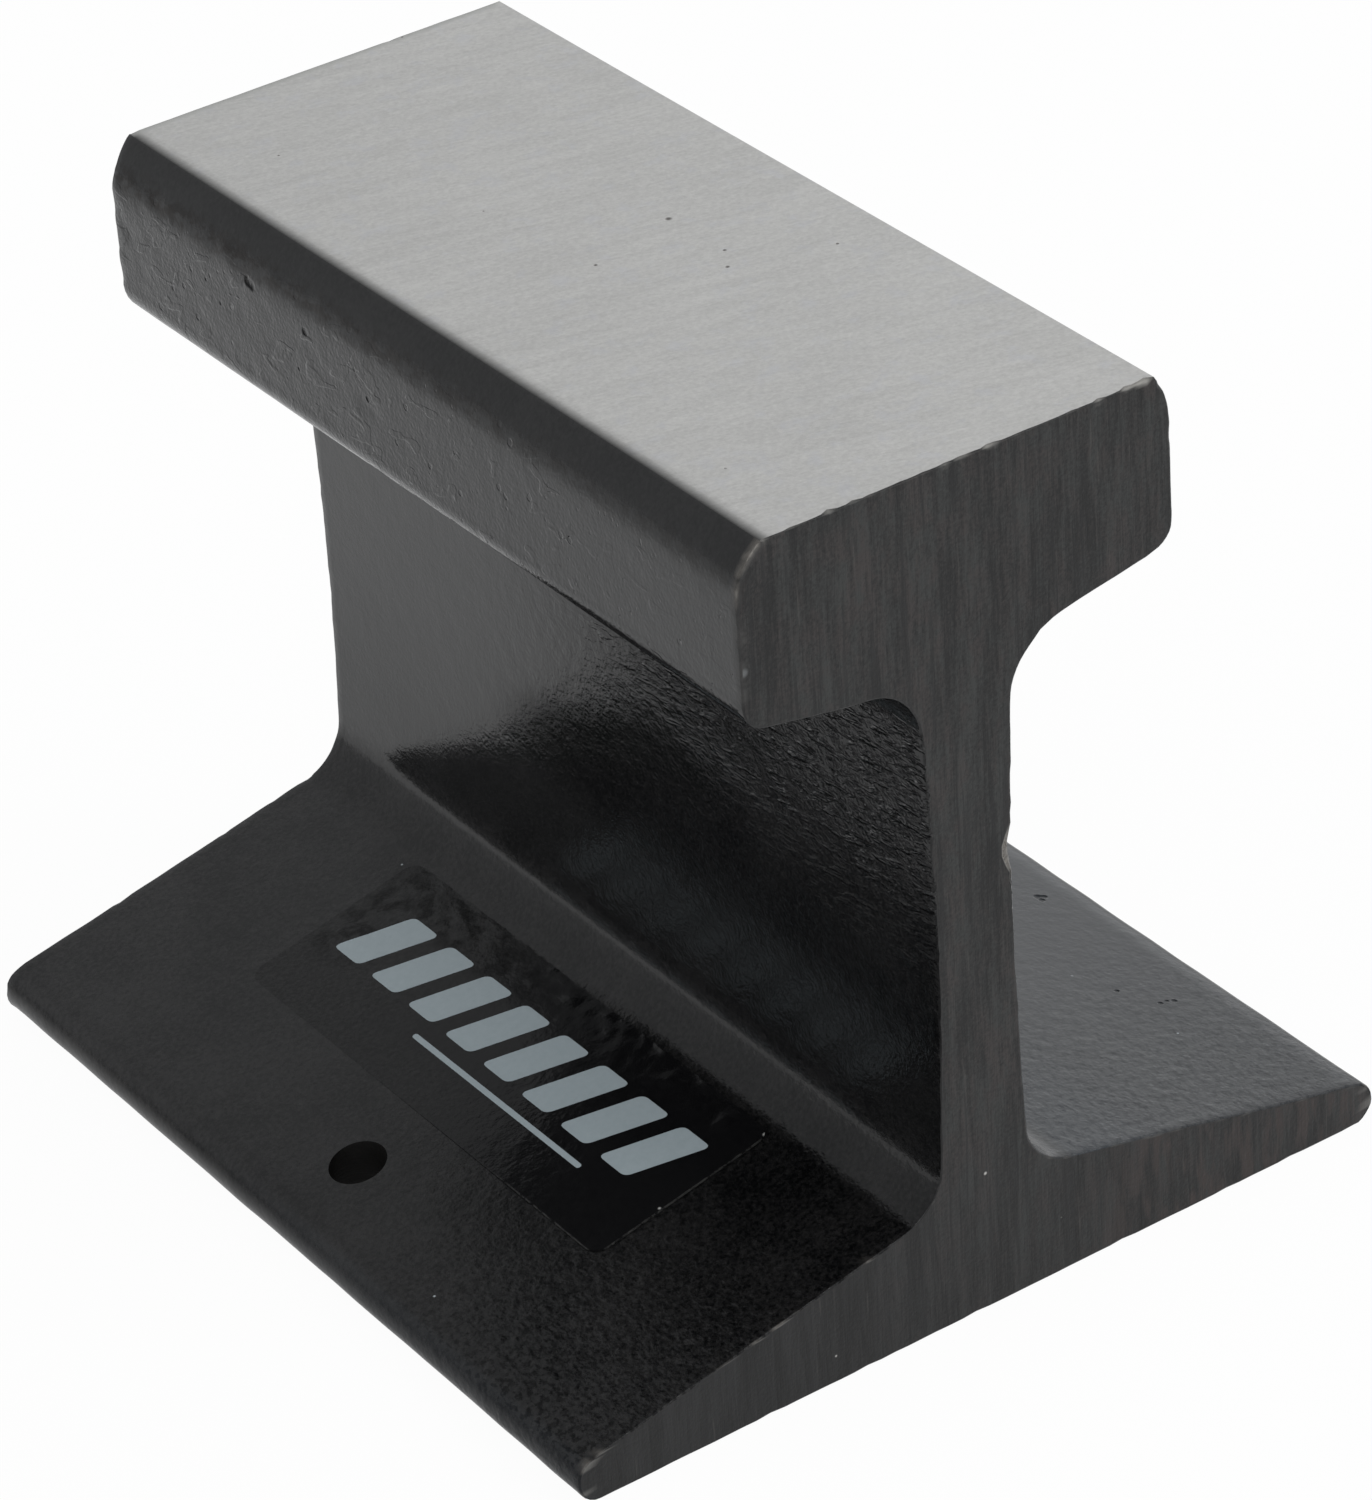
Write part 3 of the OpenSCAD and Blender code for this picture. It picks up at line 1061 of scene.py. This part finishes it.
def skin_masks(p, name):
    """The shares that the paints read, at the point p of a stretch of the outline."""
    x, y, z = p
    far = far_part(y)
    side_top = RAIL_H - 1.2 - 1.0 * far
    on_side = float(name in ("side", "lip"))
    side = smooth(side_top, side_top - 2.2, z) if name == "corner" else on_side
    seam = max(0.0, 1 - abs(z - SEAM_Z) / 1.3) if name in ("corner", "side") else 0.0
    on_foot = 1.0 if name in ("flange", "toe") else 0.15 if name == "foot_fillet" else 0.0
    end_rust = smooth(4.0, 16.0, x) * smooth(14.0, 8.0, z)
    textured = smooth(-1.1 * END_Y, 0.5 * END_Y, y)
    return {
        "head_side": (0.25 + 0.75 * textured) * side,
        "foot_top": on_foot,
        "leather": leather_share(p, name),
        "grit": grit_share(p, name),
        "crevices": crevice_share(p, name),
        "dull": dull_share(p, name),
        "cloudy": float(name in ("web", "head_fillet")) * (1 - smooth(-2.0, 24.0, y)),
        "gloss": gloss_share(p, name),
        "bare": bare_share(p, name),
        "rust": end_rust if name == "cap" else seam * (0.25 + 0.5 * far),
        # Painted shade on the sawn ends: darker towards the foot's bottom and its left
        "painted_foot_shade": (0.35 + 0.65 * smooth(4.0, -18.0, x)) * smooth(16.0, 6.0, z),
        "dust": 0.5 + 0.3 * far if on_foot and x < 0 else 0.2,
        "chips": float(name == "toe" and z > 1.0 and x > 0),
        "far_edge": smooth(END_Y - 0.45, END_Y - 0.10, y) if name == "top" else 0.0,
        "polish": float(name == "top"),
        # Painted shade along the rolled left edge of the ground face
        "painted_edge_shade": rolled_edge(x, y) if x < 0 and (name == "top" or z > RAIL_H - 0.1) else 0.0,
        # Painted sheen: a painted reflection on the right flange and the foot's left edge
        "painted_sheen": painted_sheen_share(p, name),
    }


def make_rail(materials):
    """The rail, with its materials in the order of their slots."""
    grid = build_rail()
    obj = grid.make("rail_steel", materials)
    tree = kdtree.KDTree(len(grid.verts))
    for index, v in enumerate(grid.verts):
        tree.insert(Vector(v) * MM, index)
    tree.balance()
    drill(obj)
    obj.data.name = "rail_steel"
    masks = []
    for v in obj.data.vertices:
        name = grid.names[tree.find(v.co)[1]]
        masks.append(skin_masks(tuple(v.co / MM), name))
    for name in masks[0]:
        set_mask(obj.data, name, [row[name] for row in masks])
    obj.data.shade_smooth()
    obj.data.set_sharp_from_angle(angle=RAIL_SHARP)
    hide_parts("rail")
    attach(obj, BODY)


# The label

def slope_place(s, y, up):
    """Point on the left flange: s up the slope from the foot's edge, up off its surface."""
    up += max(0.0, s - flat_len) ** 2 / (2 * FOOT_FILLET_R)
    base = Vector((-FOOT_HALF, y, TOE_H))
    along = Vector((math.cos(FOOT_SLOPE), 0, math.sin(FOOT_SLOPE)))
    out = Vector((-math.sin(FOOT_SLOPE), 0, math.cos(FOOT_SLOPE)))
    return base + s * along + up * out


# The film lies a little further up than drawn, where it just climbs the fillet and wrinkles
FILM_LIFT = 0.35
FILM_START = flat_len - LABEL_GAP - LABEL_W + FILM_LIFT


def film_height(s, y):
    """Height of the film's upper face, wrinkled along its upper edge and at its far end."""
    upper = smooth(LABEL_W - 3.6, LABEL_W - 0.9, s + 1.1 * bumps((0, y, 0), 3.0, 17.0))
    far = smooth(LABEL_LEN / 2 - 9.0, LABEL_LEN / 2 - 3.0, y + 2.5 * bumps((s, y, 0), 4.0, 19.0))
    upper *= smooth(-LABEL_LEN / 2 + 0.4, -LABEL_LEN / 2 + 2.0, y)
    bubbles = 0.13 * max(0.0, bumps((s, y / 1.5, 0), 1.5, 6.0)) + 0.05 * bumps((s, y, 0), 0.75, 2.0)
    wrinkled = max(upper, 0.7 * far) * max(bubbles, -0.02)
    height = LABEL_T + wrinkled + 0.004 * bumps((s, y, 0), 5.0, 1.0)
    return height * (1 - 0.8 * smooth(-14.0, 8.0, y) * smooth(LABEL_W, 0.0, s))


def shares(count, length, rims):
    """Even shares from 0 to 1, with closer ones at the given distances from both ends."""
    close = [r / length for r in rims]
    inner = [i / count for i in range(1, count) if close[-1] < i / count < 1 - close[-1]]
    return [0.0] + close + inner + [1 - c for c in reversed(close)] + [1.0]


def film_low(s, y):
    """Height of the film's lower face, which lies on the flange."""
    return 0.0


def plate(name, outline_point, heights, material, across, along):
    """Closed thin plate between two heights. outline_point takes two shares and gives (s, y)."""
    grid = Grid()

    def add(a, b, height):
        s, y = outline_point(a, b)
        return grid.add(slope_place(FILM_START + s, y, height(s, y)))

    low, high = [[[add(a, b, height) for b in along] for a in across] for height in heights]
    for a in range(len(across) - 1):
        grid.join(high[a], high[a + 1], high[a + 1][1:], high[a][1:])
        grid.join(low[a][1:], low[a + 1][1:], low[a + 1], low[a])
    near, far = ([[row[b] for row in rows] for rows in (low, high)] for b in (0, -1))
    for row, after in (near, far[::-1], (high[0], low[0]), (low[-1], high[-1])):
        grid.join(row, row[1:], after[1:], after)
    obj = grid.make(name, [material])
    obj.data.set_sharp_from_angle(angle=LABEL_SHARP)
    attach(obj, BODY)
    return obj


def rounded(a, b, size, r):
    """Point of a rectangle with rounded corners, from shares across and along it."""
    s, y = a * size[0], b * size[1]
    inner_s = min(max(s, r), size[0] - r)
    inner_y = min(max(y, r), size[1] - r)
    ds, dy = s - inner_s, y - inner_y
    if ds and dy:
        pull = max(abs(ds), abs(dy)) / math.hypot(ds, dy)
        ds, dy = ds * pull, dy * pull
    return inner_s + ds, inner_y + dy


def film_point(a, b):
    """Point of the film, whose upper edge is a little ragged."""
    s, y = rounded(a, b, (LABEL_W, LABEL_LEN), LABEL_R)
    y -= LABEL_LEN / 2
    ragged = 0.16 * bumps((0, y, 0), 1.3, 33.0) + 0.10 * bumps((0, y, 0), 0.5, 34.0)
    return s + ragged * smooth(LABEL_W - 2.0, LABEL_W, s), y


# The print: a row of slanted bars, with the share of the row that they fill, and a thin rule
BARS = 8
BAR_LOW, BAR_HIGH = 5.55, 10.9
BAR_LEAN = 2.3
BAR_SHARE = 0.66
BAR_CORNER, RULE_CORNER = 0.45, 0.2
PRINT_NEAR, PRINT_FAR = -19.3, 18.9
RULE_S, RULE_W = 3.92, 0.42
RULE_NEAR, RULE_FAR = -13.2, 6.2
INK_T = 0.012
INK_SINK = 0.002


def ink_top(s, y):
    return film_height(s, y) + INK_T


def ink_low(s, y):
    return film_height(s, y) - INK_SINK


def print_piece(name, start, size, corner, tilt, ink, across, along):
    """A rectangle of ink from the place start, whose upper edge lies nearer by tilt."""

    def point(a, b):
        s, y = rounded(a, b, size, corner)
        return start[0] + s, start[1] + y - tilt * s / size[0]

    plate(name, point, (ink_low, ink_top), ink, across, along)


def film_edge(s, y):
    """1 along the film's near and lower edges, where dust has caught."""
    from_near = y + LABEL_LEN / 2
    near = 1 - smooth(0.02, 0.10, from_near)
    low = (1 - smooth(0.02, 0.09, s)) * (1 - smooth(6.0, 17.0, from_near))
    return max(near, low)


def film_dull(s, y):
    """1 where the film has lost its gloss, at its far end and along its lower edge."""
    low = smooth(6.0, 2.0, s) * smooth(-10.0, 4.0, y)
    return max(smooth(0.0, 13.0, y), 0.8 * low)


def film_patch(s, y):
    """1 where the film may lift in dark patches, at its far end and along its upper edge."""
    far = smooth(14.0, 18.0, y) * smooth(3.5, 6.5, s)
    upper = smooth(9.5, 11.5, s) * smooth(-2.0, 6.0, y)
    from_rim = min(LABEL_LEN / 2 - y, LABEL_W - s) + 1.3 * bumps((s, y, 0), 1.8, 61.0)
    return max(far, upper) * smooth(0.3, 1.3, from_rim)


def make_label(film, ink):
    """The film, and its print in plates that sink a little into it."""
    rims = (0.05, 0.12, 0.22)
    across, along = shares(44, LABEL_W, rims), shares(122, LABEL_LEN, rims)
    obj = plate("label_film", film_point, (film_low, film_height), film, across, along)
    places = [film_point(a, b) for level in (0, 1) for a in across for b in along]
    for name, share in (("edge", film_edge), ("dull", film_dull), ("patch", film_patch)):
        set_mask(obj.data, name, [share(s, y) for s, y in places])
    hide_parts("label")
    pitch = (PRINT_FAR - PRINT_NEAR - BAR_LEAN) / BARS
    size = (BAR_HIGH - BAR_LOW, BAR_SHARE * pitch)
    steps = shares(12, size[0], (0.15, 0.3))
    for k in range(BARS):
        near = PRINT_NEAR + BAR_LEAN + pitch * k + 0.5 * (pitch - size[1])
        print_piece(f"label_bar_{k + 1}", (BAR_LOW, near), size, BAR_CORNER, BAR_LEAN, ink,
                    steps, steps)
    size = (RULE_W, RULE_FAR - RULE_NEAR)
    across, along = shares(4, RULE_W, (0.08,)), shares(40, size[1], (0.07, 0.15))
    print_piece("label_rule", (RULE_S, RULE_NEAR), size, RULE_CORNER, 0.0, ink, across, along)


# Stage, lights and camera

FLOOR_HALF = 2000.0
FLOOR_Z = -0.02


def make_floor():
    """A wide floor just below the rail's foot."""
    grid = Grid()
    for x, y in ((-1, -1), (1, -1), (1, 1), (-1, 1)):
        grid.add((x * FLOOR_HALF, y * FLOOR_HALF, FLOOR_Z))
    grid.join([0], [1], [2], [3])
    obj = grid.make("floor", [floor_material()])
    obj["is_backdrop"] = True


# The studio is white, and dims towards a soft dark side, up and to the back left
DARK_SIDE = (-0.6, 0.35, 0.72)
DIM_SIDE = 0.5
DIM_FROM, DIM_TO = 0.10, 0.62

# How white the floor looks: to the camera, and in what shines
SEEN_FLOOR, MIRRORED_FLOOR = 0.96, 0.4


def make_world():
    world = bpy.data.worlds.new("studio")
    bpy.context.scene.world = world
    n = Nodes(world, "ShaderNodeOutputWorld")
    light, rays = n.add("ShaderNodeBackground"), n.add("ShaderNodeLightPath")
    n.feed((0.97, 0.985, 1.0), light, "Color")
    dark = n.compare("DOT_PRODUCT", "Generated", DARK_SIDE)
    level = n.span(dark, DIM_FROM, DIM_TO, 1.0, DIM_SIDE, "SMOOTHSTEP")
    n.feed(n.math("MAXIMUM", level, [rays, "Is Camera Ray"]), light, "Strength")
    n.link(light, "Background", n.output, "Surface")


LAMP_SIZE = 500
LAMP_AIM = Vector((0, 0, 30))


def make_lamp(name, place, power):
    """A square lamp that faces the rail."""
    data = bpy.data.lights.new(name, "AREA")
    data.shape = "RECTANGLE"
    data.size = data.size_y = LAMP_SIZE * MM
    data.energy = power
    obj = bpy.data.objects.new(name, data)
    bpy.context.scene.collection.objects.link(obj)
    obj.location = Vector(place) * MM
    obj.rotation_euler = (LAMP_AIM - Vector(place)).to_track_quat("-Z", "Y").to_euler()


# The camera stands in front of the sawn end, to the left and above, as in the photograph. It is
# turned round these axes of its own, in degrees.
CAMERA_TURNS = ((-33.37, "Z"), (90 - 32.28, "X"), (-3.953, "Z"))
CAMERA_DISTANCE = 407.29
CAMERA_TARGET = (-0.576, -4.869, 27.66)
PICTURE_H = 1500
FOCAL_PIXELS = 6328.8


def make_camera():
    data = bpy.data.cameras.new("camera")
    data.sensor_fit = "VERTICAL"
    data.sensor_height = 24.0
    data.lens = FOCAL_PIXELS * data.sensor_height / PICTURE_H
    data.clip_start = 0.01
    obj = bpy.data.objects.new("camera", data)
    bpy.context.scene.collection.objects.link(obj)
    obj.matrix_world = Matrix.Translation(Vector(CAMERA_TARGET) * MM)
    for angle, axis in CAMERA_TURNS:
        obj.matrix_world @= Matrix.Rotation(math.radians(angle), 4, axis)
    obj.matrix_world @= Matrix.Translation((0, 0, CAMERA_DISTANCE * MM))
    bpy.context.scene.camera = obj


make_rail([paint_material(), ground_material(), sawn_material(), hole_material()])
make_label(film_material(), ink_material())
make_floor()
make_world()
make_lamp("front_right", (520, -620, 760), 2.2)
make_lamp("front_left", (-620, -420, 820), 1.4)
make_camera()
bpy.context.scene.view_settings.view_transform = "Standard"

boxes = {"cad": cad_box, "visual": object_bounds()}
{name: [list(corner) for corner in box] for name, box in boxes.items()}
